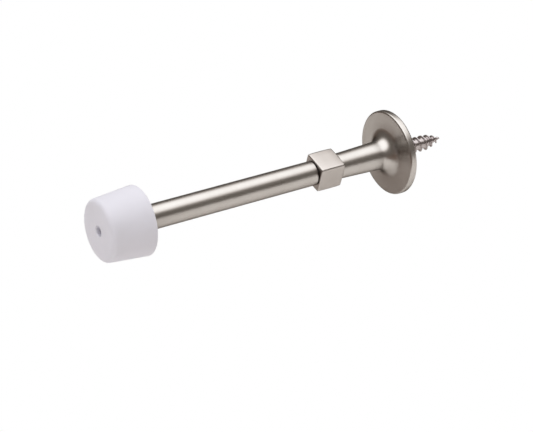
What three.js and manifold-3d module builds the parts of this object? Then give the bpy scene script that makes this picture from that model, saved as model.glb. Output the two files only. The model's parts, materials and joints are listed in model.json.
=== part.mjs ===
// Rigid adjustable door stop that screws into a baseboard.
// Millimetres. The wall face is the plane y = 0, the bumper points along -Y, the wood screw along +Y, +Z up.
// Every distance along the stop is counted from the wall face towards the bumper, so y = -distance.
import * as THREE from 'three';
import { mergeVertices } from 'three/addons/utils/BufferGeometryUtils.js';
import Module from 'manifold-3d';

const wasm = await Module();
wasm.setup();

// ---- Clearances ----
const SEAT_GAP = 0.3;          // between two faces that butt together
const FIT_GAP = 0.3;           // radial, round a piece that turns or is pushed over another
const PRESS_GAP = 0.2;         // radial, round a piece fixed in its bore

// ---- Base flange and neck ----
const BASE_LENGTH = 25.7;
const FLANGE_DIAMETER = 32.5;
const FLANGE_THICKNESS = 2.8;
const RIM_ROUND = 0.4;
const FACE_RISE = 0.3;         // the flange's face climbs this much from the rim to the flare
const FLARE_RADIUS = 5;
const NECK_ROOT_DIAMETER = 11; // where the flare begins
const NECK_END_DIAMETER = 9.6;
const NECK_EDGE_ROUND = 0.25;
const SCREW_SOCKET_DEPTH = 5;
const SOCKET_RELIEF = 0.8;     // chamfer at the socket's mouth, wider than the screw's thread by this much

// ---- Mounting screw ----
const SCREW_LENGTH = 22.5;     // out of the wall face
const SCREW_DIAMETER = 6;
const SCREW_CORE_DIAMETER = 4.2;
const SCREW_PITCH = 2.6;
const SCREW_THREAD_START = 0.4;
const SCREW_FLANK_SHARE = 0.18; // each flank's share of the pitch
const SCREW_TAPER_LENGTH = 7;
const SCREW_POINT_RADIUS = 0.15;
const CREST_TAPER_POWER = 0.6; // the crests stay full for longer than the core

// ---- Square lock nut ----
const NUT_WIDTH = 10.6;
const NUT_LENGTH = 10.4;
const NUT_CORNER_ROUND = 0.8;
const NUT_EDGE_BEVEL = 0.4;
const NUT_TURN_DEG = 18;       // about the stop's axis, as it is left when tightened

// ---- Adjusting stud ----
const STUD_DIAMETER = 5;
const STUD_PITCH = 0.8;
const THREAD_DEPTH_SHARE = 0.61; // of the pitch
const THREAD_ROOT_SHARE = 0.5; // of the pitch, from a crest to the root after it
const STUD_TRAVEL = 12;
const STUD_GRIP = 6;           // least length left in the neck
const STUD_CHAMFER = 0.6;

// ---- Front tube, its bush and its plug ----
const TUBE_LENGTH = 79.1;
const TUBE_DIAMETER = 9.3;
const TUBE_WALL = 0.9;
const TUBE_EDGE_ROUND = 0.25;
const INSERT_LENGTH = 10;
const INSERT_RECESS = 0.4;     // below the tube's rear face
const PLUG_SPIGOT_LENGTH = 8;
const PLUG_COLLAR_LENGTH = 1.5;
const PLUG_WAIST_DIAMETER = 4.6;
const PLUG_WAIST_LENGTH = 2.8;
const PLUG_BARB_DIAMETER = 7;
const PLUG_BARB_LENGTH = 2.6;
const PLUG_TIP_DIAMETER = 4.4;

// ---- Rubber bumper ----
const BUMPER_LENGTH = 17;
const BUMPER_REAR_DIAMETER = 26.2;
const BUMPER_FRONT_DIAMETER = 23.2;
const BUMPER_REAR_ROUND = 0.6;
const BUMPER_FRONT_ROUND = 1.8;
const BUMPER_OVERLAP = 5.8;    // of the tube inside the rubber
const BUMPER_LIP = 0.6;        // chamfer at the mouth of its bore
const VENT_DIAMETER = 3.8;

// ---- Facets ----
const BIG_SIDES = 40;
const SMALL_SIDES = 28;
const THREAD_SIDES = 10;
const WOOD_THREAD_SIDES = 20;
const LEAD_TURNS = 1.77;       // wound before a thread's start, to be trimmed off
const SPARE_TURNS = 2;         // wound over a thread's whole length, for both ends
const ROUND_STEPS = 3;
const FLARE_STEPS = 7;
const WELD_TOLERANCE = 1e-5;

// ---- Places along the stop, worked out from the sizes above ----
const nutStart = BASE_LENGTH + SEAT_GAP;
const tubeStart = nutStart + NUT_LENGTH + SEAT_GAP;
const tubeEnd = tubeStart + TUBE_LENGTH;
const insertStart = tubeStart + INSERT_RECESS;
const insertEnd = insertStart + INSERT_LENGTH;
const studStart = BASE_LENGTH - STUD_GRIP - STUD_TRAVEL;
const plugCollarStart = tubeEnd + SEAT_GAP;
const plugWaistStart = plugCollarStart + PLUG_COLLAR_LENGTH;
const plugBarbStart = plugWaistStart + PLUG_WAIST_LENGTH;
const plugEnd = plugBarbStart + PLUG_BARB_LENGTH;
const bumperStart = tubeEnd - BUMPER_OVERLAP;
const bumperEnd = bumperStart + BUMPER_LENGTH;

const flangeRadius = FLANGE_DIAMETER / 2;
const studRadius = STUD_DIAMETER / 2;
const tubeRadius = TUBE_DIAMETER / 2;
const tubeBore = tubeRadius - TUBE_WALL;
const screwRadius = SCREW_DIAMETER / 2;
const screwCore = SCREW_CORE_DIAMETER / 2;

// Points of an arc in [radius, distance] form, from one angle to another in degrees.
function arc(radius, distance, size, from, to, steps) {
  return Array.from({ length: steps + 1 }, (_, i) => {
    const a = THREE.MathUtils.degToRad(from + ((to - from) * i) / steps);
    return [radius + size * Math.cos(a), distance + size * Math.sin(a)];
  });
}

// A body turned about the stop's axis from an outline of [radius, distance] points. The outline runs
// from the bumper end of the bore or axis, round the outside, so that its faces point out.
function turned(outline, sides) {
  const points = outline.map(([radius, distance]) => new THREE.Vector2(radius, -distance));
  return new THREE.LatheGeometry(points, sides);
}

// A hollow body: the outline closes on itself.
const hollow = (outline, sides) => turned([...outline, outline[0]], sides);

// The same geometry with shared corners, which is what a boolean needs.
function welded(geometry) {
  const bare = geometry.clone();
  bare.deleteAttribute('normal');
  bare.deleteAttribute('uv');
  return mergeVertices(bare, WELD_TOLERANCE);
}

function toSolid(geometry) {
  const mesh = welded(geometry);
  const vertProperties = new Float32Array(mesh.attributes.position.array);
  const triVerts = new Uint32Array(mesh.index.array);
  return new wasm.Manifold(new wasm.Mesh({ numProp: 3, vertProperties, triVerts }));
}

function toGeometry(solid) {
  const { vertProperties, triVerts } = solid.getMesh();
  const geometry = new THREE.BufferGeometry();
  geometry.setAttribute('position', new THREE.BufferAttribute(vertProperties, 3));
  geometry.setIndex(new THREE.BufferAttribute(triVerts, 1));
  return geometry;
}

// A right-hand screw thread as one closed body along +Y from y = 0. Its rings follow the helix, so that
// crests and roots stay sharp. ring lists the outline of one pitch as [share of the pitch, crest or not],
// and radiusAt gives the radius at a distance along the thread.
function helicalBody({ length, pitch, sides, ring, radiusAt }) {
  const perTurn = ring.length;
  const rows = (Math.ceil(length / pitch) + SPARE_TURNS) * perTurn;
  const alongAt = (row) => (Math.floor(row / perTurn) - LEAD_TURNS + ring[row % perTurn][0]) * pitch;
  const positions = [];
  for (let row = 0; row <= rows; row += 1) {
    for (let side = 0; side < sides; side += 1) {
      const angle = (side / sides) * 2 * Math.PI;
      const place = alongAt(row) + (side / sides) * pitch;
      const radius = radiusAt(place, ring[row % perTurn][1]);
      positions.push(radius * Math.sin(angle), place, radius * Math.cos(angle));
    }
  }
  const firstCentre = positions.length / 3;
  positions.push(0, alongAt(0) + pitch / 2, 0);
  positions.push(0, alongAt(rows) + pitch / 2, 0);
  const triangles = [...helicalWall(rows, sides, perTurn)];
  triangles.push(...fan(firstCentre, firstLoop(sides, perTurn)));
  triangles.push(...fan(firstCentre + 1, lastLoop(rows, sides, perTurn)));
  const geometry = new THREE.BufferGeometry();
  geometry.setAttribute('position', new THREE.Float32BufferAttribute(positions, 3));
  geometry.setIndex(triangles);
  return geometry;
}

// The wall's triangles. After a full turn a ring meets the ring one pitch further on.
function helicalWall(rows, sides, perTurn) {
  const triangles = [];
  const vertex = (row, side) => (side === sides ? (row + perTurn) * sides : row * sides + side);
  for (let row = 0; row < rows; row += 1) {
    const columns = row + 1 + perTurn <= rows ? sides : sides - 1;
    for (let side = 0; side < columns; side += 1) {
      const [a, b] = [vertex(row, side), vertex(row, side + 1)];
      const [c, d] = [vertex(row + 1, side + 1), vertex(row + 1, side)];
      triangles.push(a, b, c, a, c, d);
    }
  }
  return triangles;
}

// The open edge at the start, in the order that faces its fan towards -Y.
function firstLoop(sides, perTurn) {
  const ringPoints = Array.from({ length: sides }, (_, side) => side);
  const stepPoints = Array.from({ length: perTurn }, (_, step) => (perTurn - step) * sides);
  return [...ringPoints, ...stepPoints].reverse();
}

// The open edge at the end, in the order that faces its fan towards +Y.
function lastLoop(rows, sides, perTurn) {
  const ringPoints = Array.from({ length: sides }, (_, side) => rows * sides + side);
  const stepPoints = Array.from({ length: perTurn }, (_, step) => (rows - step) * sides - 1);
  return [...ringPoints, ...stepPoints];
}

// Triangles from a centre to each stretch of a loop.
const fan = (centre, loop) => loop.flatMap((point, i) => [centre, point, loop[(i + 1) % loop.length]]);

// A helical body trimmed by a turned envelope.
const trimmedThread = (thread, envelope) => toSolid(helicalBody(thread)).intersect(toSolid(envelope));

// ---- Pieces ----

// Flange, flare and neck in one casting, with the stud's bore in front and the screw's socket behind.
function baseFlange() {
  const boreRadius = studRadius + FIT_GAP;
  const boreFloor = studStart - SEAT_GAP;
  const neckEnd = NECK_END_DIAMETER / 2;
  const flareCentre = NECK_ROOT_DIAMETER / 2 + FLARE_RADIUS;
  const faceFoot = FLANGE_THICKNESS + FACE_RISE;
  const socketRadius = screwCore + PRESS_GAP;
  return turned([
    [0, boreFloor],
    [boreRadius, boreFloor],
    [boreRadius, BASE_LENGTH],
    ...arc(neckEnd - NECK_EDGE_ROUND, BASE_LENGTH - NECK_EDGE_ROUND, NECK_EDGE_ROUND, 90, 0, ROUND_STEPS),
    ...arc(flareCentre, faceFoot + FLARE_RADIUS, FLARE_RADIUS, 180, 270, FLARE_STEPS),
    ...arc(flangeRadius - RIM_ROUND, FLANGE_THICKNESS - RIM_ROUND, RIM_ROUND, 90, 0, ROUND_STEPS),
    ...arc(flangeRadius - RIM_ROUND, RIM_ROUND, RIM_ROUND, 0, -90, ROUND_STEPS),
    [screwRadius + SOCKET_RELIEF, 0],
    [socketRadius, SOCKET_RELIEF],
    [socketRadius, SCREW_SOCKET_DEPTH],
    [0, SCREW_SOCKET_DEPTH],
  ], BIG_SIDES);
}

// Wood screw: a plain shank in the base's socket, then a thread that tapers to a sharp point.
function mountingScrew() {
  const shankEnd = SCREW_SOCKET_DEPTH - SEAT_GAP;
  const shank = turned([
    [0, shankEnd],
    [screwCore, shankEnd],
    [screwCore, -SCREW_PITCH],
    [0, -SCREW_PITCH],
  ], WOOD_THREAD_SIDES);
  const taper = (place) => Math.min(1, Math.max(0, (SCREW_LENGTH - place) / SCREW_TAPER_LENGTH));
  const radiusAt = (place, isCrest) => {
    const full = isCrest ? screwRadius : screwCore;
    return Math.max(SCREW_POINT_RADIUS, full * taper(place) ** (isCrest ? CREST_TAPER_POWER : 1));
  };
  const envelope = turned([
    [0, -SCREW_THREAD_START],
    [flangeRadius, -SCREW_THREAD_START],
    [flangeRadius, -SCREW_LENGTH],
    [0, -SCREW_LENGTH],
  ], WOOD_THREAD_SIDES);
  const ring = [[0, true], [SCREW_FLANK_SHARE, false], [1 - SCREW_FLANK_SHARE, false]];
  const thread = { length: SCREW_LENGTH, pitch: SCREW_PITCH, sides: WOOD_THREAD_SIDES, ring, radiusAt };
  return toGeometry(trimmedThread(thread, envelope).add(toSolid(shank)));
}

// Square nut with rounded corners and bevelled faces, bored for the stud.
function lockNut() {
  const half = NUT_WIDTH / 2;
  const inner = half - NUT_CORNER_ROUND;
  const outline = new THREE.Shape();
  [[1, 1], [-1, 1], [-1, -1], [1, -1]].forEach(([x, y], i) => {
    outline.absarc(x * inner, y * inner, NUT_CORNER_ROUND, (i * Math.PI) / 2, ((i + 1) * Math.PI) / 2);
  });
  outline.closePath();
  outline.holes.push(new THREE.Path().absarc(0, 0, studRadius + FIT_GAP, 0, 2 * Math.PI, true));
  const geometry = new THREE.ExtrudeGeometry(outline, {
    depth: NUT_LENGTH - 2 * NUT_EDGE_BEVEL,
    bevelThickness: NUT_EDGE_BEVEL,
    bevelSize: NUT_EDGE_BEVEL,
    bevelOffset: -NUT_EDGE_BEVEL,
    bevelSegments: 1,
    curveSegments: ROUND_STEPS * 2,
  });
  geometry.rotateX(Math.PI / 2);
  geometry.translate(0, -(nutStart + NUT_EDGE_BEVEL), 0);
  return geometry;
}

// Machine-threaded stud, chamfered at both ends.
function adjustingStud() {
  const depth = STUD_PITCH * THREAD_DEPTH_SHARE;
  const envelope = turned([
    [0, insertEnd],
    [studRadius - STUD_CHAMFER, insertEnd],
    [studRadius, insertEnd - STUD_CHAMFER],
    [studRadius, studStart + STUD_CHAMFER],
    [studRadius - STUD_CHAMFER, studStart],
    [0, studStart],
  ], THREAD_SIDES);
  const ring = [[0, true], [THREAD_ROOT_SHARE, false]];
  const radiusAt = (_, isCrest) => (isCrest ? studRadius : studRadius - depth);
  const thread = { length: insertEnd - studStart, pitch: STUD_PITCH, sides: THREAD_SIDES, ring, radiusAt };
  envelope.translate(0, insertEnd, 0);
  const geometry = toGeometry(trimmedThread(thread, envelope));
  geometry.translate(0, -insertEnd, 0);
  return geometry;
}

function frontTube() {
  const edge = tubeRadius - TUBE_EDGE_ROUND;
  return hollow([
    [tubeBore, tubeEnd],
    ...arc(edge, tubeEnd - TUBE_EDGE_ROUND, TUBE_EDGE_ROUND, 90, 0, ROUND_STEPS),
    ...arc(edge, tubeStart + TUBE_EDGE_ROUND, TUBE_EDGE_ROUND, 0, -90, ROUND_STEPS),
    [tubeBore, tubeStart],
  ], SMALL_SIDES);
}

// Bush in the tube's rear end that holds the stud.
function tubeRearInsert() {
  const outer = tubeBore - PRESS_GAP;
  const bore = studRadius + PRESS_GAP;
  return hollow([
    [bore, insertEnd],
    [outer, insertEnd],
    [outer, insertStart],
    [bore, insertStart],
  ], SMALL_SIDES);
}

// Plug in the tube's front end: spigot, collar against the tube, waist, and the barb that holds the rubber.
function nosePlug() {
  const spigot = tubeBore - PRESS_GAP;
  const waist = PLUG_WAIST_DIAMETER / 2;
  const spigotStart = tubeEnd - PLUG_SPIGOT_LENGTH;
  return turned([
    [0, plugEnd],
    [PLUG_TIP_DIAMETER / 2, plugEnd],
    [PLUG_BARB_DIAMETER / 2, plugBarbStart],
    [waist, plugBarbStart],
    [waist, plugWaistStart],
    [tubeRadius, plugWaistStart],
    [tubeRadius, plugCollarStart],
    [spigot, plugCollarStart],
    [spigot, spigotStart],
    [0, spigotStart],
  ], SMALL_SIDES);
}

// Solid rubber, bored for the tube's end and the plug, with a vent hole through its front face.
function rubberBumper() {
  const front = BUMPER_FRONT_DIAMETER / 2;
  const draft = Math.atan((BUMPER_REAR_DIAMETER / 2 - front) / BUMPER_LENGTH);
  const slope = THREE.MathUtils.radToDeg(draft);
  const centreAt = (fromFront, round) => front + fromFront * Math.tan(draft) - round / Math.cos(draft);
  const frontCentre = centreAt(BUMPER_FRONT_ROUND, BUMPER_FRONT_ROUND);
  const rearCentre = centreAt(BUMPER_LENGTH - BUMPER_REAR_ROUND, BUMPER_REAR_ROUND);
  const frontPlace = bumperEnd - BUMPER_FRONT_ROUND;
  const rearPlace = bumperStart + BUMPER_REAR_ROUND;
  const mouth = tubeRadius + FIT_GAP;
  const waist = PLUG_WAIST_DIAMETER / 2 + FIT_GAP;
  return hollow([
    [VENT_DIAMETER / 2, bumperEnd],
    ...arc(frontCentre, frontPlace, BUMPER_FRONT_ROUND, 90, slope, ROUND_STEPS * 2),
    ...arc(rearCentre, rearPlace, BUMPER_REAR_ROUND, slope, -90, ROUND_STEPS),
    [mouth + BUMPER_LIP, bumperStart],
    [mouth, bumperStart + BUMPER_LIP],
    [mouth, plugWaistStart + FIT_GAP],
    [waist, plugWaistStart + FIT_GAP],
    [waist, plugBarbStart - FIT_GAP],
    [PLUG_BARB_DIAMETER / 2 + FIT_GAP, plugBarbStart - FIT_GAP],
    [PLUG_BARB_DIAMETER / 2 + FIT_GAP, plugBarbStart],
    [PLUG_TIP_DIAMETER / 2 + FIT_GAP, plugEnd + FIT_GAP],
    [VENT_DIAMETER / 2, plugEnd + FIT_GAP],
  ], BIG_SIDES);
}

// ---- Assembly ----
const satinNickel = { color: 0xb9b2aa, roughness: 0.32, metalness: 1 };
const brightNickel = { color: 0xcac3bb, roughness: 0.25, metalness: 1 };
const zincSteel = { color: 0x8d8a86, roughness: 0.4, metalness: 1 };
const whiteRubber = { color: 0xe9e7ec, roughness: 0.75, metalness: 0 };

function piece(name, geometry, finish) {
  const mesh = new THREE.Mesh(geometry, new THREE.MeshStandardMaterial(finish));
  mesh.name = name;
  return mesh;
}

const base = new THREE.Group();
base.add(piece('base_flange', baseFlange(), satinNickel));
base.add(piece('mounting_screw', mountingScrew(), zincSteel));

const nut = piece('lock_nut', lockNut(), brightNickel);
nut.rotation.y = THREE.MathUtils.degToRad(NUT_TURN_DEG);

const rod = new THREE.Group();
rod.add(piece('adjusting_stud', adjustingStud(), zincSteel));
rod.add(piece('front_tube', frontTube(), satinNickel));
rod.add(piece('tube_rear_insert', tubeRearInsert(), zincSteel));
rod.add(piece('nose_plug', nosePlug(), zincSteel));
rod.add(piece('rubber_bumper', rubberBumper(), whiteRubber));

const doorStop = new THREE.Group();
doorStop.add(base, nut, rod);

export default doorStop;
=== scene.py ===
"""Looks of a rigid wall door stop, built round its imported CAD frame.

Distances along the stop are counted from the wall face towards the bumper, so y = -distance. Outlines
are in millimetres, and become metres only where a mesh is made.
"""

import json
import logging
import math
from collections.abc import Callable, Sequence
from dataclasses import dataclass
from enum import Enum

import bmesh
import bpy
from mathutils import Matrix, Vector


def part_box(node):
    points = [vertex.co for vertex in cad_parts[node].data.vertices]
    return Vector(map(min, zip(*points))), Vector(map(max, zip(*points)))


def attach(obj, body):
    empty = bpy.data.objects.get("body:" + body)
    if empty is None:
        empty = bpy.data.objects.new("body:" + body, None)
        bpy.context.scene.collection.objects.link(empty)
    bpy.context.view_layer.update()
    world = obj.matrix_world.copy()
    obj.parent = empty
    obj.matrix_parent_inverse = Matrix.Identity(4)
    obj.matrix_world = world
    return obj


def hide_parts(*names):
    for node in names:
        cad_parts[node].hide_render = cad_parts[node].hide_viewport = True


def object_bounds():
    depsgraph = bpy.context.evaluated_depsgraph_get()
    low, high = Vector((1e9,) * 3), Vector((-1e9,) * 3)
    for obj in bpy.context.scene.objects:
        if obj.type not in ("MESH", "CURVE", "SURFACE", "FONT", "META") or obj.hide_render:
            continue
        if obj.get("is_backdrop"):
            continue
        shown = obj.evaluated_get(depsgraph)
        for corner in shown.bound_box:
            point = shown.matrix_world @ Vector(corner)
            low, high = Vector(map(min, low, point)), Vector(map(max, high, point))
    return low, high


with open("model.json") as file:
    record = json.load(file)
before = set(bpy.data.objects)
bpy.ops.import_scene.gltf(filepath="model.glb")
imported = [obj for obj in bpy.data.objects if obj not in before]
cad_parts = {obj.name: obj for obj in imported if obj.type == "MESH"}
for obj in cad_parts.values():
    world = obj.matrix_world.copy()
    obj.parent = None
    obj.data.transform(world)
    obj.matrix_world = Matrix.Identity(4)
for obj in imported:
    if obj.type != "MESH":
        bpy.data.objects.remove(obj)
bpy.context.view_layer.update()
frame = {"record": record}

log = logging.getLogger("door_stop")

MM = 0.001
ON_AXIS = 1e-6
MERGE_DISTANCE = 1e-7
MERGE_DIGITS = 5
LEAD_TURNS = 1.77  # wound before a thread's start, which sets where round the axis it begins
SPARE_TURNS = 3  # wound over a thread's whole length, for both ends
NOISE_RANGE = (0.3, 0.7)  # what a noise texture mostly stays within
Point = tuple[float, float]
Colour = tuple[float, float, float, float]


# ---------------------------------------------------------------------------------------------------
# Outlines and meshes
# ---------------------------------------------------------------------------------------------------


@dataclass(frozen=True)
class Corner:
    """A corner of an outline: its radius from the axis, its distance from the wall, and its rounding."""

    radius: float
    distance: float
    fillet: float = 0.0


@dataclass(frozen=True)
class Span:
    """Where a turned CAD node lies along the stop, and its outer radius, in millimetres."""

    start: float
    end: float
    radius: float

    @classmethod
    def of(cls, node: str) -> "Span":
        """Measures a CAD node's box.

        Args:
            node: The node's name.

        Returns:
            Where it lies.
        """
        low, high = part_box(node)
        return cls(start=-high.y / MM, end=-low.y / MM, radius=(high.x - low.x) / 2 / MM)


def rounded(corners: Sequence[Corner], steps: int = 8, is_ring: bool = False) -> list[Point]:
    """Rounds an outline's corners with arcs.

    Args:
        corners: The outline's corners, in order.
        steps: Steps in each arc.
        is_ring: Whether the outline closes on itself, so that its first and last corners round too.

    Returns:
        The outline's points, as (radius, distance) pairs in millimetres.
    """
    points: list[Point] = []
    last = len(corners) - 1
    for i, corner in enumerate(corners):
        here = Vector((corner.radius, corner.distance))
        if corner.fillet <= 0 or (not is_ring and i in (0, last)):
            points.append((here.x, here.y))
            continue
        before, after = corners[i - 1], corners[(i + 1) % len(corners)]
        back = (Vector((before.radius, before.distance)) - here).normalized()
        ahead = (Vector((after.radius, after.distance)) - here).normalized()
        half = back.angle(ahead) / 2
        middle = here + (back + ahead).normalized() * (corner.fillet / math.sin(half))
        reach = corner.fillet / math.tan(half)
        first = here + back * reach - middle
        sweep = first.angle_signed(here + ahead * reach - middle)
        for step in range(steps + 1):
            turn = -sweep * step / steps
            x = first.x * math.cos(turn) - first.y * math.sin(turn)
            y = first.x * math.sin(turn) + first.y * math.cos(turn)
            points.append((middle.x + x, middle.y + y))
    return points


def spaced(points: Sequence[Point], longest: float) -> list[Point]:
    """Splits an outline's long stretches into even steps.

    Args:
        points: The outline's points.
        longest: The longest step allowed, in millimetres.

    Returns:
        The outline with the extra points.
    """
    out = [points[0]]
    for (r0, d0), (r1, d1) in zip(points, points[1:]):
        count = max(1, math.ceil(math.hypot(r1 - r0, d1 - d0) / longest))
        out += [(r0 + (r1 - r0) * i / count, d0 + (d1 - d0) * i / count) for i in range(1, count + 1)]
    return out


def strip(first: Sequence[int], second: Sequence[int]) -> list[tuple[int, ...]]:
    """Makes the faces between two rings, where a ring of one vertex is a point on the axis.

    Args:
        first: Vertex indices of the first ring.
        second: Vertex indices of the second ring.

    Returns:
        Vertex indices of each face.
    """
    sides = max(len(first), len(second))
    faces = []
    for i in range(sides):
        loop = [first[i % len(first)], first[(i + 1) % len(first)]]
        loop += [second[(i + 1) % len(second)], second[i % len(second)]]
        faces.append(tuple(dict.fromkeys(loop)))
    return faces


def make_object(name: str, verts: Sequence[Vector], faces: Sequence[Sequence[int]]) -> bpy.types.Object:
    """Makes a smooth-shaded mesh object whose flat faces keep flat shading up to their rounded edges.

    Args:
        name: The object's name.
        verts: Vertex positions, in millimetres.
        faces: Vertex indices of each face.

    Returns:
        The new object, linked to the scene.
    """
    mesh = bpy.data.meshes.new(name)
    mesh.from_pydata([v * MM for v in verts], [], faces)
    cleaned = bmesh.new()
    cleaned.from_mesh(mesh)
    bmesh.ops.remove_doubles(cleaned, verts=cleaned.verts, dist=MERGE_DISTANCE)
    bmesh.ops.recalc_face_normals(cleaned, faces=cleaned.faces)
    cleaned.to_mesh(mesh)
    cleaned.free()
    mesh.shade_smooth()
    obj = bpy.data.objects.new(name, mesh)
    bpy.context.scene.collection.objects.link(obj)
    normals = obj.modifiers.new("flat faces stay flat", "WEIGHTED_NORMAL")
    normals.keep_sharp = True
    return obj


def turned(name: str, outline: Sequence[Point], sides: int, is_ring: bool = False) -> bpy.types.Object:
    """Turns an outline about the stop's axis.

    Args:
        name: The object's name.
        outline: (radius, distance) points from the bumper end round the outside.
        sides: Facets round the axis.
        is_ring: Whether the outline closes on itself, for a piece with a hole right through.

    Returns:
        The new object.
    """
    verts: list[Vector] = []
    rings: list[list[int]] = []
    for radius, distance in outline:
        count = 1 if radius < ON_AXIS else sides
        rings.append(list(range(len(verts), len(verts) + count)))
        for side in range(count):
            angle = side / sides * math.tau
            verts.append(Vector((radius * math.sin(angle), -distance, radius * math.cos(angle))))
    following = rings[1:] + ([rings[0]] if is_ring else [])
    faces = [face for a, b in zip(rings, following) for face in strip(a, b)]
    return make_object(name, verts, faces)


def threaded(
    name: str,
    start: float,
    length: float,
    pitch: float,
    radius_at: Callable[[float, float], float],
    sides: int,
    rows_per_turn: int,
) -> bpy.types.Object:
    """Winds a right-hand thread along +Y whose rings follow the helix.

    Args:
        name: The object's name.
        start: The y where the piece begins, in millimetres.
        length: Its length.
        pitch: The thread's pitch.
        radius_at: Gives the radius at a place along the piece and a share of the pitch past the crest.
        sides: Facets round the axis.
        rows_per_turn: Rings in one pitch.

    Returns:
        The new object, closed at both ends.
    """
    rows = (math.ceil(length / pitch) + SPARE_TURNS) * rows_per_turn

    def at(row: int, side: int) -> int:
        """Index of the vertex at a row and side, where the last side runs on into the next turn."""
        return (row + rows_per_turn) * sides if side == sides else row * sides + side

    verts: list[Vector] = []
    for row in range(rows + 1):
        for side in range(sides):
            raw = (row / rows_per_turn - LEAD_TURNS + side / sides) * pitch
            place = min(max(raw, 0.0), length)
            radius = radius_at(place, row / rows_per_turn % 1.0)
            angle = side / sides * math.tau
            verts.append(Vector((radius * math.sin(angle), start + place, radius * math.cos(angle))))
    first_cap, last_cap = len(verts), len(verts) + 1
    verts += [Vector((0, start, 0)), Vector((0, start + length, 0))]
    faces = []
    for row in range(rows):
        columns = sides if row + 1 + rows_per_turn <= rows else sides - 1
        for side in range(columns):
            faces.append((at(row, side), at(row, side + 1), at(row + 1, side + 1), at(row + 1, side)))
    opening = list(range(sides)) + [step * sides for step in range(rows_per_turn, 0, -1)]
    closing = [rows * sides + side for side in range(sides)]
    closing += [(rows - step) * sides - 1 for step in range(rows_per_turn)]
    for centre, loop in ((first_cap, opening), (last_cap, closing)):
        faces += [(centre, point, loop[(i + 1) % len(loop)]) for i, point in enumerate(loop)]
    return merged_thread(name, verts, faces)


def merged_thread(
    name: str, verts: Sequence[Vector], faces: Sequence[Sequence[int]]
) -> bpy.types.Object:
    """Joins the vertices that a thread's ends bring together, and drops the faces that this empties.

    Args:
        name: The object's name.
        verts: Vertex positions, in millimetres.
        faces: Vertex indices of each face.

    Returns:
        The new object.
    """
    key_of = [tuple(round(c, MERGE_DIGITS) for c in v) for v in verts]
    index: dict[tuple[float, ...], int] = {}
    kept: list[Vector] = []
    for key, vert in zip(key_of, verts):
        if key not in index:
            index[key] = len(kept)
            kept.append(vert)
    solid = [tuple(dict.fromkeys(index[key_of[i]] for i in face)) for face in faces]
    return make_object(name, kept, [face for face in solid if len(face) > 2])


# ---------------------------------------------------------------------------------------------------
# Finishes
# ---------------------------------------------------------------------------------------------------


def linear(code: str) -> Colour:
    """Turns an sRGB hex colour into a linear one.

    Args:
        code: The colour, such as '#b9b2aa'.

    Returns:
        Linear red, green, blue and alpha.
    """
    parts = [int(code[i : i + 2], 16) / 255 for i in (1, 3, 5)]
    red, green, blue = (p / 12.92 if p <= 0.04045 else ((p + 0.055) / 1.055) ** 2.4 for p in parts)
    return (red, green, blue, 1.0)


def add_node(
    tree: bpy.types.NodeTree, kind: str, settings: dict[str, object] | None = None, **inputs: object
) -> bpy.types.Node:
    """Adds a node to a tree.

    Args:
        tree: The tree.
        kind: The node's type name.
        settings: The node's properties, by name.
        inputs: Values or output sockets by input name, or by "i" and the input's number.

    Returns:
        The new node.
    """
    node = tree.nodes.new(kind)
    for key, value in (settings or {}).items():
        setattr(node, key, value)
    for key, value in inputs.items():
        name = key.replace("_", " ")
        socket = node.inputs[int(key[1:])] if key[1:].isdigit() else node.inputs[name]
        if isinstance(value, bpy.types.NodeSocket):
            tree.links.new(value, socket)
        else:
            socket.default_value = value
    return node


def new_material(name: str) -> tuple[bpy.types.Material, bpy.types.NodeTree]:
    """Makes an empty node material.

    Args:
        name: The material's name.

    Returns:
        The material and its tree.
    """
    material = bpy.data.materials.new(name)
    material.use_nodes = True
    material.node_tree.nodes.clear()
    return material, material.node_tree


def around_axis(
    tree: bpy.types.NodeTree, place: bpy.types.NodeSocket
) -> tuple[bpy.types.NodeSocket, bpy.types.NodeSocket]:
    """Finds a surface's distance from the stop's axis, for marks that a lathe leaves.

    Args:
        tree: The tree to add to.
        place: Where on the object a point is.

    Returns:
        The distance from the axis, and a place that changes only with it and with distance along.
    """
    flat = add_node(tree, "ShaderNodeVectorMath", {"operation": "MULTIPLY"}, i0=place, i1=(1, 0, 1))
    out = add_node(tree, "ShaderNodeVectorMath", {"operation": "LENGTH"}, i0=flat.outputs[0])
    axes = add_node(tree, "ShaderNodeSeparateXYZ", Vector=place)
    rings = add_node(
        tree, "ShaderNodeCombineXYZ", X=out.outputs["Value"], Y=axes.outputs["Y"], Z=0.0
    )
    return out.outputs["Value"], rings.outputs[0]


class Lay(Enum):
    """How the marks of a surface's last working run."""

    ROUND = "round the axis, as a lathe or a turned mop leaves them"
    ALONG = "along the axis, as a belt leaves them"


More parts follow.
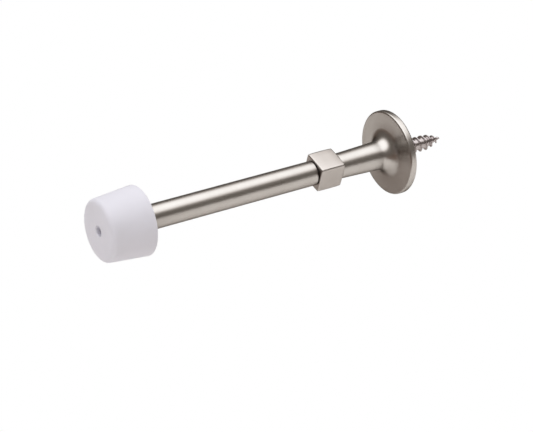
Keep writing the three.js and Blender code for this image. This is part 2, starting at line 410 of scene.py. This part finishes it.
@dataclass(frozen=True)
class SatinNickel:
    """Satin nickel plate: nickel electroplated over a brushed ground, then lacquered."""

    name: str
    tone: str = "#c7c4c1"
    deep_tone: str = "#bbb7b3"
    edge_tone: str = "#8a8580"
    roughness: float = 0.3
    roughness_spread: float = 0.06
    grain_mm: float = 0.35
    grain_depth_mm: float = 0.004
    grain_strength: float = 0.35
    cloud_mm: float = 7.0
    lay: Lay = Lay.ROUND
    lay_stretch: float = 0.03

    def material(self) -> bpy.types.Material:
        """Builds the finish's material.

        Returns:
            The material, with brushing marks, a slow drift of tone and an uneven gloss.
        """
        material, tree = new_material(self.name)
        place = add_node(tree, "ShaderNodeTexCoord").outputs["Object"]
        if self.lay is Lay.ROUND:
            marks = around_axis(tree, place)[1]
        else:
            stretched = (1, self.lay_stretch, 1)
            marks = add_node(
                tree, "ShaderNodeVectorMath", {"operation": "MULTIPLY"}, i0=place, i1=stretched
            ).outputs[0]
        # Real brushing is 0.02 to 0.05 mm apart. It is drawn some ten times coarser so that it shows.
        grain = add_node(
            tree, "ShaderNodeTexNoise", Vector=marks,
            Scale=1 / (self.grain_mm * MM), Detail=4.0, Roughness=0.7,
        )
        # Slow clouds in the lacquer, a few millimetres across, keep wide faces from looking printed.
        cloud = add_node(
            tree, "ShaderNodeTexNoise", Vector=place, Scale=1 / (self.cloud_mm * MM), Detail=3.0
        )
        tone = add_node(
            tree, "ShaderNodeMix", {"data_type": "RGBA"},
            Factor=cloud.outputs[0], i6=linear(self.tone), i7=linear(self.deep_tone),
        )
        gloss = add_node(
            tree, "ShaderNodeMapRange", Value=grain.outputs[0],
            From_Min=NOISE_RANGE[0], From_Max=NOISE_RANGE[1],
            To_Min=self.roughness - self.roughness_spread / 2,
            To_Max=self.roughness + self.roughness_spread / 2,
        )
        bump = add_node(
            tree, "ShaderNodeBump", Strength=self.grain_strength,
            Distance=self.grain_depth_mm * MM, Height=grain.outputs[0],
        )
        shader = add_node(
            tree, "ShaderNodeBsdfPrincipled",
            Base_Color=tone.outputs[2], Metallic=1.0, Roughness=gloss.outputs[0], Normal=bump.outputs[0],
            Specular_Tint=linear(self.edge_tone),
        )
        add_node(tree, "ShaderNodeOutputMaterial", Surface=shader.outputs[0])
        return material


@dataclass(frozen=True)
class ZincPlatedSteel:
    """Zinc plated steel, thread rolled: mottled grey, with painted shade darkening it a little down in its
    roots.
    """

    name: str
    crest_radius_mm: float
    root_radius_mm: float
    crest_tone: str = "#c9c3c4"
    # Painted shade: the darker tone that the thread roots take.
    root_shade_tone: str = "#b5aeae"
    roughness: float = 0.27
    smoother_by: float = 0.06
    rougher_by: float = 0.08
    grain_mm: float = 0.5
    grain_depth_mm: float = 0.01
    grain_strength: float = 0.4
    mottle_share: float = 0.5
    root_shade_range: tuple[float, float] = (0.2, 1.2)

    def material(self) -> bpy.types.Material:
        """Builds the finish's material.

        Returns:
            The material, with painted shade in the roots, mottled plating and fine rolling marks.
        """
        material, tree = new_material(self.name)
        place = add_node(tree, "ShaderNodeTexCoord").outputs["Object"]
        height = add_node(
            tree, "ShaderNodeMapRange", Value=around_axis(tree, place)[0],
            From_Min=self.root_radius_mm * MM, From_Max=self.crest_radius_mm * MM,
        )
        mottle = add_node(
            tree, "ShaderNodeTexNoise", Vector=place,
            Scale=1 / (self.grain_mm * MM), Detail=5.0, Roughness=0.65,
        )
        # Painted shade: the tone darkens towards a root and lightens towards a crest, with the mottle mixed
        # in.
        root_shade_mix = add_node(
            tree, "ShaderNodeMath", {"operation": "MULTIPLY_ADD"},
            i0=mottle.outputs[0], i1=self.mottle_share, i2=height.outputs[0],
        )
        share = add_node(
            tree, "ShaderNodeMapRange", Value=root_shade_mix.outputs[0],
            From_Min=self.root_shade_range[0], From_Max=self.root_shade_range[1],
        )
        tone = add_node(
            tree, "ShaderNodeMix", {"data_type": "RGBA"},
            Factor=share.outputs[0], i6=linear(self.root_shade_tone), i7=linear(self.crest_tone),
        )
        gloss = add_node(
            tree, "ShaderNodeMapRange", Value=mottle.outputs[0],
            From_Min=NOISE_RANGE[0], From_Max=NOISE_RANGE[1],
            To_Min=self.roughness - self.smoother_by, To_Max=self.roughness + self.rougher_by,
        )
        bump = add_node(
            tree, "ShaderNodeBump", Strength=self.grain_strength,
            Distance=self.grain_depth_mm * MM, Height=mottle.outputs[0],
        )
        shader = add_node(
            tree, "ShaderNodeBsdfPrincipled",
            Base_Color=tone.outputs[2], Metallic=1.0, Roughness=gloss.outputs[0], Normal=bump.outputs[0],
        )
        add_node(tree, "ShaderNodeOutputMaterial", Surface=shader.outputs[0])
        return material


@dataclass(frozen=True)
class TurnedSteel:
    """Free-cutting steel, turned on a lathe and left bare: grey, with fine rings round the axis."""

    name: str
    tone: str = "#b4b0ac"
    oiled_tone: str = "#9d9893"
    roughness: float = 0.32
    roughness_spread: float = 0.1
    feed_mm: float = 0.3
    feed_depth_mm: float = 0.005
    feed_strength: float = 0.35

    def material(self) -> bpy.types.Material:
        """Builds the finish's material.

        Returns:
            The material, with the tool's feed marks and a film of oil that dulls it in places.
        """
        material, tree = new_material(self.name)
        place = add_node(tree, "ShaderNodeTexCoord").outputs["Object"]
        marks = around_axis(tree, place)[1]
        # Real feed marks are about 0.1 mm apart, and are drawn coarser so that they show.
        feed = add_node(
            tree, "ShaderNodeTexNoise", Vector=marks, Scale=1 / (self.feed_mm * MM), Detail=3.0
        )
        tone = add_node(
            tree, "ShaderNodeMix", {"data_type": "RGBA"},
            Factor=feed.outputs[0], i6=linear(self.tone), i7=linear(self.oiled_tone),
        )
        gloss = add_node(
            tree, "ShaderNodeMapRange", Value=feed.outputs[0],
            From_Min=NOISE_RANGE[0], From_Max=NOISE_RANGE[1],
            To_Min=self.roughness - self.roughness_spread / 2,
            To_Max=self.roughness + self.roughness_spread / 2,
        )
        bump = add_node(
            tree, "ShaderNodeBump", Strength=self.feed_strength,
            Distance=self.feed_depth_mm * MM, Height=feed.outputs[0],
        )
        shader = add_node(
            tree, "ShaderNodeBsdfPrincipled",
            Base_Color=tone.outputs[2], Metallic=1.0, Roughness=gloss.outputs[0], Normal=bump.outputs[0],
        )
        add_node(tree, "ShaderNodeOutputMaterial", Surface=shader.outputs[0])
        return material


@dataclass(frozen=True)
class MouldedRubber:
    """White thermoplastic rubber, injection moulded in a spark-eroded mould: matte, with a fine tooth."""

    name: str
    tone: str = "#e8e8f3"
    dusty_tone: str = "#e0e0ea"
    roughness: float = 0.6
    roughness_spread: float = 0.12
    ior: float = 1.5
    tooth_mm: float = 0.3
    tooth_depth_mm: float = 0.012
    tooth_strength: float = 0.3
    cloud_mm: float = 9.0

    def material(self) -> bpy.types.Material:
        """Builds the finish's material.

        Returns:
            The material, with a moulded tooth and a faint bloom.
        """
        material, tree = new_material(self.name)
        place = add_node(tree, "ShaderNodeTexCoord").outputs["Object"]
        # The eroded tooth is about 0.05 mm on the real mould, and is drawn coarser so that it shows.
        tooth = add_node(
            tree, "ShaderNodeTexNoise", Vector=place, Scale=1 / (self.tooth_mm * MM), Detail=3.0
        )
        cloud = add_node(
            tree, "ShaderNodeTexNoise", Vector=place, Scale=1 / (self.cloud_mm * MM), Detail=2.0
        )
        tone = add_node(
            tree, "ShaderNodeMix", {"data_type": "RGBA"},
            Factor=cloud.outputs[0], i6=linear(self.tone), i7=linear(self.dusty_tone),
        )
        gloss = add_node(
            tree, "ShaderNodeMapRange", Value=tooth.outputs[0],
            From_Min=NOISE_RANGE[0], From_Max=NOISE_RANGE[1],
            To_Min=self.roughness - self.roughness_spread / 2,
            To_Max=self.roughness + self.roughness_spread / 2,
        )
        bump = add_node(
            tree, "ShaderNodeBump", Strength=self.tooth_strength,
            Distance=self.tooth_depth_mm * MM, Height=tooth.outputs[0],
        )
        shader = add_node(
            tree, "ShaderNodeBsdfPrincipled",
            Base_Color=tone.outputs[2], Roughness=gloss.outputs[0], Normal=bump.outputs[0], IOR=self.ior,
        )
        add_node(tree, "ShaderNodeOutputMaterial", Surface=shader.outputs[0])
        return material


@dataclass(frozen=True)
class PaperSweep:
    """Matte white studio paper, with painted shade in its colour beside the stop: brown patches that stand
    in for the stop's own shadow on the paper and for a dim room towards the bumper's end, to darken its
    metal.

    The painted shade only appears in reflections: seen directly, the paper is evenly white.
    """

    name: str = "studio_paper"
    tone: str = "#efe9e2"
    seen_tone: str = "#ffffff"
    roughness: float = 0.95
    fibre_mm: float = 2.0
    # Painted shade, seen only in reflections: where it lies across x, its brown, the patch towards the
    # bumper's end, and the paper's lightness along x.
    painted_shade_range: tuple[float, float] = (-0.3, 0.1)
    painted_shade_tone: str = "#6a5446"
    front_painted_shade: tuple[float, float] = (-0.113, -0.088)
    front_painted_shade_way: tuple[float, float, float] = (-0.3, 1.0, 0.0)
    unshaded_share_stops: tuple[tuple[float, float], ...] = (
        (-0.30, 0.05), (-0.20, 0.25), (-0.15, 1.0), (-0.115, 0.95), (-0.085, 0.60),
        (-0.060, 0.38), (-0.035, 0.22), (-0.012, 0.75), (0.02, 1.0),
    )

    def material(self) -> bpy.types.Material:
        """Builds the finish's material.

        Returns:
            The material, with a faint fibre in its tone, and painted shade beside the stop that only
            reflections see.
        """
        material, tree = new_material(self.name)
        place = add_node(tree, "ShaderNodeTexCoord").outputs["Object"]
        fibre = add_node(tree, "ShaderNodeTexNoise", Vector=place, Scale=1 / (self.fibre_mm * MM))
        tone = add_node(
            tree, "ShaderNodeMix", {"data_type": "RGBA"},
            Factor=fibre.outputs[0], i6=linear(self.tone), i7=linear(self.seen_tone),
        )
        # Painted shade: a brown strip across x beside the stop, standing in for its shadow on the paper.
        low, high = self.painted_shade_range
        axes = add_node(tree, "ShaderNodeSeparateXYZ", Vector=place)
        across = add_node(
            tree, "ShaderNodeMapRange", Value=axes.outputs["X"], From_Min=low, From_Max=high
        )
        # Painted shade towards the bumper's end, standing in for a dim room in front of the stop.
        front_low, front_high = self.front_painted_shade
        inward = add_node(
            tree, "ShaderNodeVectorMath", {"operation": "DOT_PRODUCT"}, i0=place, i1=self.front_painted_shade_way
        )
        clear_of_front_shade = add_node(
            tree, "ShaderNodeMapRange", {"interpolation_type": "SMOOTHSTEP"},
            Value=inward.outputs["Value"], From_Min=front_low, From_Max=front_high,
        )
        painted_shade_ramp = add_node(tree, "ShaderNodeValToRGB", Fac=across.outputs[0])
        painted_shade_ramp.color_ramp.interpolation = "EASE"
        stops = painted_shade_ramp.color_ramp.elements
        while len(stops) < len(self.unshaded_share_stops):
            stops.new(1.0)
        for stop, (x, share) in zip(stops, self.unshaded_share_stops):
            stop.position = (x - low) / (high - low)
            stop.color = (share, share, share, 1.0)
        bare = add_node(
            tree, "ShaderNodeMath", {"operation": "MULTIPLY"}, i0=painted_shade_ramp.outputs[0], i1=clear_of_front_shade.outputs[0]
        )
        # Glossy rays see the painted shade; other rays see the plain paper, and the camera sees even white.
        rays = add_node(tree, "ShaderNodeLightPath")
        shown = add_node(
            tree, "ShaderNodeMix", i0=rays.outputs["Is Glossy Ray"], i2=1.0, i3=bare.outputs[0]
        )
        shaded = add_node(
            tree, "ShaderNodeMix", {"data_type": "RGBA"},
            Factor=shown.outputs[0], i6=linear(self.painted_shade_tone), i7=tone.outputs[2],
        )
        paper = add_node(
            tree, "ShaderNodeBsdfPrincipled", Base_Color=shaded.outputs[2], Roughness=self.roughness
        )
        seen = add_node(tree, "ShaderNodeEmission", Color=linear(self.seen_tone), Strength=1.0)
        mixed = add_node(
            tree, "ShaderNodeMixShader",
            i0=rays.outputs["Is Camera Ray"], i1=paper.outputs[0], i2=seen.outputs[0],
        )
        add_node(tree, "ShaderNodeOutputMaterial", Surface=mixed.outputs[0])
        return material


Finish = SatinNickel | ZincPlatedSteel | TurnedSteel | MouldedRubber | PaperSweep


# ---------------------------------------------------------------------------------------------------
# Sub-assemblies
# ---------------------------------------------------------------------------------------------------


def stand_for(piece: bpy.types.Object, node: str, finish: Finish) -> bpy.types.Object:
    """Dresses a piece and puts it in the place of a CAD node.

    Args:
        piece: The new piece, in place.
        node: The CAD node that it stands for.
        finish: Its finish.

    Returns:
        The piece, riding on the node's body.
    """
    record = frame["record"]
    bodies = record["behaviour"]["bodies"]
    body = next(name for name, nodes in bodies.items() if node in nodes)
    piece.data.materials.append(finish.material())
    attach(piece, body)
    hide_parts(node)
    faces = len(piece.data.polygons)
    log.info("%s stands for %s on body %s, with %d faces", piece.name, node, body, faces)
    return piece


@dataclass
class WallBase:
    """The casting that sits on the wall, and the wood screw that holds it there."""

    rim_thickness: float = 2.8
    rim_round: float = 0.7
    face_bend: tuple[float, float, float] = (12.5, 2.95, 40.0)
    face_foot: float = 3.75
    root_spread: float = 0.1
    flare_radius: float = 5.0
    neck_root_radius: float = 5.5
    neck_end_radius: float = 4.8
    neck_edge_round: float = 0.3
    bore_radius: float = 2.7
    bore_depth: float = 18.3
    socket_radius: float = 2.3
    socket_depth: float = 5.0
    relief_radius: float = 3.8
    relief_depth: float = 0.8
    screw_pitch: float = 2.6
    screw_core: float = 2.1
    screw_taper: float = 7.0
    crest_fullness: float = 0.6
    crest_flat: float = 0.08
    flank_share: float = 0.17
    flank_curve: float = 1.15
    thread_start: float = 0.2
    thread_run_in: float = 0.8
    bore_floor_round: float = 0.3
    bore_mouth_round: float = 0.2
    relief_round: float = 0.15
    socket_round: float = 0.2
    arc_steps: int = 12
    longest_step: float = 1.2
    sides: int = 192
    screw_sides: int = 72
    screw_rows: int = 18

    def casting(self) -> bpy.types.Object:
        """Turns the flange, flare and neck.

        Returns:
            The casting.
        """
        base = Span.of("base_flange")
        corners = [
            Corner(0, base.end - self.bore_depth),
            Corner(self.bore_radius, base.end - self.bore_depth, self.bore_floor_round),
            Corner(self.bore_radius, base.end, self.bore_mouth_round),
            Corner(self.neck_end_radius, base.end, self.neck_edge_round),
            Corner(self.neck_root_radius + self.root_spread, self.face_foot, self.flare_radius),
            Corner(*self.face_bend),
            Corner(base.radius, self.rim_thickness, self.rim_round),
            Corner(base.radius, base.start, self.rim_round),
            Corner(self.relief_radius, base.start, self.relief_round),
            Corner(self.socket_radius, base.start + self.relief_depth, self.socket_round),
            Corner(self.socket_radius, base.start + self.socket_depth, self.socket_round),
            Corner(0, base.start + self.socket_depth),
        ]
        outline = spaced(rounded(corners, self.arc_steps), self.longest_step)
        return turned("flange_casting", outline, self.sides)

    def screw(self) -> bpy.types.Object:
        """Winds the wood screw: a plain shank, then a thread that tapers to a sharp point.

        Returns:
            The screw.
        """
        screw = Span.of("mounting_screw")
        shank = screw.end
        length = screw.end - screw.start
        core, crest = self.screw_core, screw.radius

        def radius_at(place: float, share: float) -> float:
            """Gives the screw's radius.

            Args:
                place: Where along the screw, in millimetres.
                share: The share of the pitch past the crest.

            Returns:
                The radius, in millimetres.
            """
            left = min(1.0, max(0.0, (length - place) / self.screw_taper))
            started = min(1.0, max(0.0, (place - shank - self.thread_start) / self.thread_run_in))
            across = min(share, 1 - share) / self.flank_share
            rise = max(0.0, 1 - max(0.0, across - self.crest_flat)) ** self.flank_curve * started
            root = core * left
            return root + (crest * left**self.crest_fullness - root) * rise

        return threaded(
            "wood_screw", -screw.end, length, self.screw_pitch, radius_at, self.screw_sides, self.screw_rows
        )

    def build(self) -> None:
        """Builds the casting and its screw, and dresses them."""
        stand_for(self.casting(), "base_flange", SatinNickel("satin_nickel_casting"))
        screw = Span.of("mounting_screw")
        finish = ZincPlatedSteel("zinc_plated_wood_screw", screw.radius, self.screw_core)
        stand_for(self.screw(), "mounting_screw", finish)


@dataclass
class LockNut:
    """The square nut that jams against the neck."""

    width: float = 10.68
    crown: float = 0.09
    crown_power: float = 3.0
    corner_round: float = 0.9
    edge_round: float = 0.5
    bore_radius: float = 2.7
    turn_deg: float = 18.0
    bore_chamfer: float = 0.3
    tone: str = "#c3bebb"
    deep_tone: str = "#b7b2ae"
    arc_steps: int = 8
    side_steps: int = 10
    edge_steps: int = 6

    def outline(self, inset: float) -> list[Vector]:
        """Points round the square, set in from its sides, as x and z before the nut is turned.

        Args:
            inset: How far in from the nut's sides, in millimetres.

        Returns:
            The points, with the four corners rounded.
        """
        inner = self.width / 2 - self.corner_round
        reach = self.corner_round - inset
        corners = [(1, 1), (-1, 1), (-1, -1), (1, -1)]
        points = []
        for i, (x, z) in enumerate(corners):
            for step in range(self.arc_steps + 1):
                angle = (i + step / self.arc_steps) * math.pi / 2
                points.append(
                    Vector((x * inner + reach * math.cos(angle), z * inner + reach * math.sin(angle)))
                )
            ahead = (i + 1) * math.pi / 2
            nx, nz = corners[(i + 1) % 4]
            here = points[-1].copy()
            there = Vector((nx * inner + reach * math.cos(ahead), nz * inner + reach * math.sin(ahead)))
            outward = Vector((math.cos(ahead), math.sin(ahead)))
            for step in range(1, self.side_steps):
                share = step / self.side_steps
                rise = self.crown * (1 - abs(2 * share - 1) ** self.crown_power)
                points.append(here.lerp(there, share) + outward * rise)
        return points

    def ring(self, inset: float, distance: float) -> list[Vector]:
        """Makes one ring of the nut's outside, at an inset and a distance along the stop."""
        return [Vector((p.x, -distance, p.y)) for p in self.outline(inset)]

    def bore_ring(self, radius: float, distance: float) -> list[Vector]:
        """Makes one ring of the nut's bore, with its points in line with those of the outside."""
        ways = [p.normalized() * radius for p in self.outline(0)]
        return [Vector((p.x, -distance, p.y)) for p in ways]

    def build(self) -> None:
        """Builds the nut ring by ring, from its front face round its sides and back through its bore."""
        low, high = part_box("lock_nut")
        start, end = -high.y / MM, -low.y / MM
        edge = self.edge_round
        bore, chamfer = self.bore_radius, self.bore_chamfer
        quarter = [step / self.edge_steps * math.pi / 2 for step in range(self.edge_steps + 1)]
        rings = [self.bore_ring(bore, end - chamfer), self.bore_ring(bore + chamfer, end)]
        for a in quarter:
            rings.append(self.ring(edge * (1 - math.sin(a)) + self.crown, end - edge * (1 - math.cos(a))))
        for step in range(1, self.side_steps):
            share = step / self.side_steps
            fall = self.crown * abs(2 * share - 1) ** self.crown_power
            rings.append(self.ring(fall, end - edge + (start - end + 2 * edge) * share))
        for a in quarter:
            rings.append(self.ring(edge * (1 - math.cos(a)) + self.crown, start + edge * (1 - math.sin(a))))
        rings += [self.bore_ring(bore + chamfer, start), self.bore_ring(bore, start + chamfer)]
        count = len(rings[0])
        loops = [list(range(i * count, (i + 1) * count)) for i in range(len(rings))]
        faces = [face for a, b in zip(loops, loops[1:] + loops[:1]) for face in strip(a, b)]
        turn = math.radians(self.turn_deg)
        verts = []
        for v in (v for ring in rings for v in ring):
            x = v.x * math.cos(turn) + v.z * math.sin(turn)
            z = v.z * math.cos(turn) - v.x * math.sin(turn)
            verts.append(Vector((x, v.y, z)))
        nut = make_object("square_nut", verts, faces)
        finish = SatinNickel(
            "satin_nickel_nut", tone=self.tone, deep_tone=self.deep_tone, lay=Lay.ALONG
        )
        stand_for(nut, "lock_nut", finish)


@dataclass
class FrontTube:
    """The tube, the bush and plug in its ends, and the stud that joins it to the base."""

    wall: float = 0.9
    edge_round: float = 0.3
    press_gap: float = 0.2
    bush_bore: float = 2.6
    stud_pitch: float = 0.8
    stud_depth: float = 0.49
    stud_chamfer: float = 0.6
    stud_root_share: float = 0.08
    stud_flank_share: float = 0.78
    seat_gap: float = 0.3
    plug_collar: float = 1.5
    plug_waist_radius: float = 2.3
    plug_waist: float = 2.8
    plug_barb_radius: float = 3.5
    plug_tip_radius: float = 2.2
    bore_round: float = 0.15
    bush_bore_round: float = 0.2
    bush_round: float = 0.25
    plug_end_round: float = 0.3
    plug_barb_round: float = 0.15
    plug_waist_round: float = 0.3
    plug_collar_round: float = 0.2
    tube_arc_steps: int = 6
    small_arc_steps: int = 5
    longest_step: float = 2.0
    tube_sides: int = 160
    small_sides: int = 96
    stud_sides: int = 48
    stud_rows: int = 8

    def tube(self) -> bpy.types.Object:
        """Turns the tube.

        Returns:
            The tube, open at both ends.
        """
        tube = Span.of("front_tube")
        bore = tube.radius - self.wall
        corners = [
            Corner(bore, tube.end, self.bore_round),
            Corner(tube.radius, tube.end, self.edge_round),
            Corner(tube.radius, tube.start, self.edge_round),
            Corner(bore, tube.start, self.bore_round),
        ]
        points = rounded(corners, self.tube_arc_steps, is_ring=True)
        outline = spaced(points + points[:1], self.longest_step)[:-1]
        return turned("round_tube", outline, self.tube_sides, is_ring=True)

    def bush(self) -> bpy.types.Object:
        """Turns the bush that holds the stud.

        Returns:
            The bush.
        """
        bush = Span.of("tube_rear_insert")
        corners = [
            Corner(self.bush_bore, bush.end, self.bush_bore_round),
            Corner(bush.radius, bush.end, self.bush_round),
            Corner(bush.radius, bush.start, self.bush_round),
            Corner(self.bush_bore, bush.start, self.bush_bore_round),
        ]
        outline = rounded(corners, self.small_arc_steps, is_ring=True)
        return turned("rear_bush", outline, self.small_sides, is_ring=True)

    def plug(self) -> bpy.types.Object:
        """Turns the plug with its collar, waist and barb.

        Returns:
            The plug.
        """
        plug, tube = Span.of("nose_plug"), Span.of("front_tube")
        spigot = tube.radius - self.wall - self.press_gap
        collar = tube.end + self.seat_gap
        waist = collar + self.plug_collar
        barb = waist + self.plug_waist
        corners = [
            Corner(0, plug.end),
            Corner(self.plug_tip_radius, plug.end, self.plug_end_round),
            Corner(self.plug_barb_radius, barb, self.plug_barb_round),
            Corner(self.plug_waist_radius, barb, self.plug_barb_round),
            Corner(self.plug_waist_radius, waist, self.plug_waist_round),
            Corner(tube.radius, waist, self.plug_collar_round),
            Corner(tube.radius, collar, self.plug_collar_round),
            Corner(spigot, collar, self.plug_barb_round),
            Corner(spigot, plug.start, self.plug_end_round),
            Corner(0, plug.start),
        ]
        return turned("nose_barb", rounded(corners, self.small_arc_steps), self.small_sides)

    def stud(self) -> bpy.types.Object:
        """Winds the stud, with a chamfer at each end.

        Returns:
            The stud.
        """
        stud = Span.of("adjusting_stud")
        length = stud.end - stud.start

        def radius_at(place: float, share: float) -> float:
            """Gives the stud's radius.

            Args:
                place: Where along the stud, in millimetres.
                share: The share of the pitch past the crest.

            Returns:
                The radius, in millimetres.
            """
            across = min(share, 1 - share) * 2
            rise = min(1.0, max(0.0, (1 - self.stud_root_share - across) / self.stud_flank_share))
            crest = stud.radius - self.stud_depth * (1 - rise)
            from_end = min(place, length - place)
            return min(crest, stud.radius - self.stud_chamfer + from_end)

        return threaded(
            "threaded_stud", -stud.end, length, self.stud_pitch, radius_at, self.stud_sides, self.stud_rows
        )

    def build(self) -> None:
        """Builds the tube and what is in it, and dresses them."""
        stud = Span.of("adjusting_stud")
        stand_for(self.tube(), "front_tube", SatinNickel("satin_nickel_tube"))
        stand_for(self.bush(), "tube_rear_insert", TurnedSteel("turned_steel_bush"))
        stand_for(self.plug(), "nose_plug", TurnedSteel("turned_steel_plug"))
        finish = ZincPlatedSteel("zinc_plated_stud", stud.radius, stud.radius - self.stud_depth)
        stand_for(self.stud(), "adjusting_stud", finish)


@dataclass
class RubberBumper:
    """The white rubber tip that is pushed over the plug's barb."""

    front_radius: float = 11.6
    rear_radius: float = 13.1
    front_round: float = 1.9
    rear_round: float = 0.6
    vent_radius: float = 1.9
    vent_lip: float = 0.7
    mouth_gap: float = 0.12
    mouth_lip: float = 0.3
    waist_gap: float = 0.3
    bore_round: float = 0.1
    arc_steps: int = 10
    longest_step: float = 1.2
    sides: int = 160

    def build(self) -> None:
        """Turns the bumper, with the bore that takes the tube and the barb."""
        bumper, plug, tube = Span.of("rubber_bumper"), Span.of("nose_plug"), Span.of("front_tube")
        parts = FrontTube()
        mouth = tube.radius + self.mouth_gap
        step = tube.end + parts.seat_gap + parts.plug_collar
        barb = step + parts.plug_waist
        waist = parts.plug_waist_radius + self.waist_gap
        corners = [
            Corner(self.vent_radius, bumper.end, self.vent_lip),
            Corner(self.front_radius, bumper.end, self.front_round),
            Corner(self.rear_radius, bumper.start, self.rear_round),
            Corner(mouth, bumper.start, self.mouth_lip),
            Corner(mouth, step + self.waist_gap, self.bore_round),
            Corner(waist, step + self.waist_gap, self.bore_round),
            Corner(waist, barb - self.waist_gap, self.bore_round),
            Corner(parts.plug_barb_radius + self.waist_gap, barb - self.waist_gap, self.bore_round),
            Corner(parts.plug_tip_radius + self.waist_gap, plug.end + self.waist_gap, self.bore_round),
            Corner(self.vent_radius, plug.end + self.waist_gap, self.bore_round),
        ]
        points = rounded(corners, self.arc_steps, is_ring=True)
        outline = spaced(points + points[:1], self.longest_step)[:-1]
        tip = turned("rubber_tip", outline, self.sides, is_ring=True)
        stand_for(tip, "rubber_bumper", MouldedRubber("white_moulded_rubber"))


# ---------------------------------------------------------------------------------------------------
# Studio
# ---------------------------------------------------------------------------------------------------


def way(azimuth_deg: float, elevation_deg: float) -> Vector:
    """Finds the direction from the stop towards a viewer.

    Args:
        azimuth_deg: The viewer's azimuth, from the bumper's end round towards +X.
        elevation_deg: The viewer's elevation.

    Returns:
        The direction, of length one.
    """
    a, e = math.radians(azimuth_deg), math.radians(elevation_deg)
    return Vector((math.sin(a) * math.cos(e), -math.cos(a) * math.cos(e), math.sin(e)))


@dataclass
class Studio:
    """A pale floor, soft light and the camera."""

    floor_drop: float = 0.03
    floor_half: float = 3.0
    azimuth_deg: float = 57.33
    elevation_deg: float = 26.1
    distance: float = 0.7465
    aim: tuple[float, float, float] = (0.00906, -0.0626, -0.00717)
    lens_mm: float = 138.4
    glow_tone: str = "#ffffff"
    dim_tone: str = "#fff0e2"
    dim_level: float = 0.17
    glow_level: float = 1.8
    glow_towards: tuple[float, float, float] = (-0.02, 0.0, 1.0)
    glow_fades_out_deg: float = 55.0
    glow_full_deg: float = 32.0
    fill_place: tuple[float, float, float] = (-0.15, -1.1, -0.05)
    fill_size: float = 0.5
    fill_watts: float = 2.0

    def floor(self) -> None:
        """Lays the floor under the stop."""
        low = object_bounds()[0]
        h = self.floor_half
        z = low[2] - self.floor_drop
        mesh = bpy.data.meshes.new("floor")
        mesh.from_pydata([(-h, -h, z), (h, -h, z), (h, h, z), (-h, h, z)], [], [(0, 1, 2, 3)])
        floor = bpy.data.objects.new("floor", mesh)
        floor.data.materials.append(PaperSweep().material())
        bpy.context.scene.collection.objects.link(floor)
        floor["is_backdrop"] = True

    def lights(self) -> None:
        """Sets up the light tent, brightest overhead and dim at the sides, and a fill for the rubber."""
        lamp = bpy.data.lights.new("front fill", "AREA")
        lamp.size = self.fill_size
        lamp.energy = self.fill_watts
        fill = bpy.data.objects.new("front fill", lamp)
        fill.location = self.fill_place
        fill.rotation_euler = (Vector(self.aim) - fill.location).to_track_quat("-Z", "Y").to_euler()
        fill.visible_glossy = False
        bpy.context.scene.collection.objects.link(fill)
        world = bpy.data.worlds.new("light tent")
        world.use_nodes = True
        tree = world.node_tree
        tree.nodes.clear()
        facing = add_node(tree, "ShaderNodeTexCoord").outputs["Generated"]
        nearness = add_node(
            tree, "ShaderNodeVectorMath", {"operation": "DOT_PRODUCT"},
            i0=facing, i1=Vector(self.glow_towards).normalized(),
        )
        glow = add_node(
            tree, "ShaderNodeMapRange", {"interpolation_type": "SMOOTHSTEP"},
            Value=nearness.outputs["Value"], From_Min=math.cos(math.radians(self.glow_fades_out_deg)),
            From_Max=math.cos(math.radians(self.glow_full_deg)),
        )
        level = add_node(
            tree, "ShaderNodeMath", {"operation": "MULTIPLY_ADD"},
            i0=glow.outputs[0], i1=self.glow_level, i2=self.dim_level,
        )
        tone = add_node(
            tree, "ShaderNodeMix", {"data_type": "RGBA"},
            Factor=glow.outputs[0], i6=linear(self.dim_tone), i7=linear(self.glow_tone),
        )
        tent = add_node(tree, "ShaderNodeBackground", Color=tone.outputs[2], Strength=level.outputs[0])
        seen = add_node(tree, "ShaderNodeBackground", Color=linear(self.glow_tone), Strength=1.0)
        direct = add_node(tree, "ShaderNodeLightPath").outputs["Is Camera Ray"]
        mixed = add_node(tree, "ShaderNodeMixShader", i0=direct, i1=tent.outputs[0], i2=seen.outputs[0])
        add_node(tree, "ShaderNodeOutputWorld", Surface=mixed.outputs[0])
        bpy.context.scene.world = world

    def camera(self) -> None:
        """Sets the camera."""
        data = bpy.data.cameras.new("camera")
        data.lens = self.lens_mm
        camera = bpy.data.objects.new("camera", data)
        facing = way(self.azimuth_deg, self.elevation_deg)
        camera.location = Vector(self.aim) + facing * self.distance
        camera.rotation_euler = (-facing).to_track_quat("-Z", "Y").to_euler()
        bpy.context.scene.collection.objects.link(camera)
        bpy.context.scene.camera = camera

    def build(self) -> None:
        """Builds the whole studio."""
        bpy.context.scene.view_settings.view_transform = "Standard"
        self.camera()
        self.floor()
        self.lights()


def main() -> None:
    """Builds the studio and every sub-assembly in order."""
    logging.basicConfig(level=logging.INFO, format="%(name)s: %(message)s")
    for part in (Studio(), WallBase(), LockNut(), FrontTube(), RubberBumper()):
        part.build()


if __name__ == "__main__":
    main()
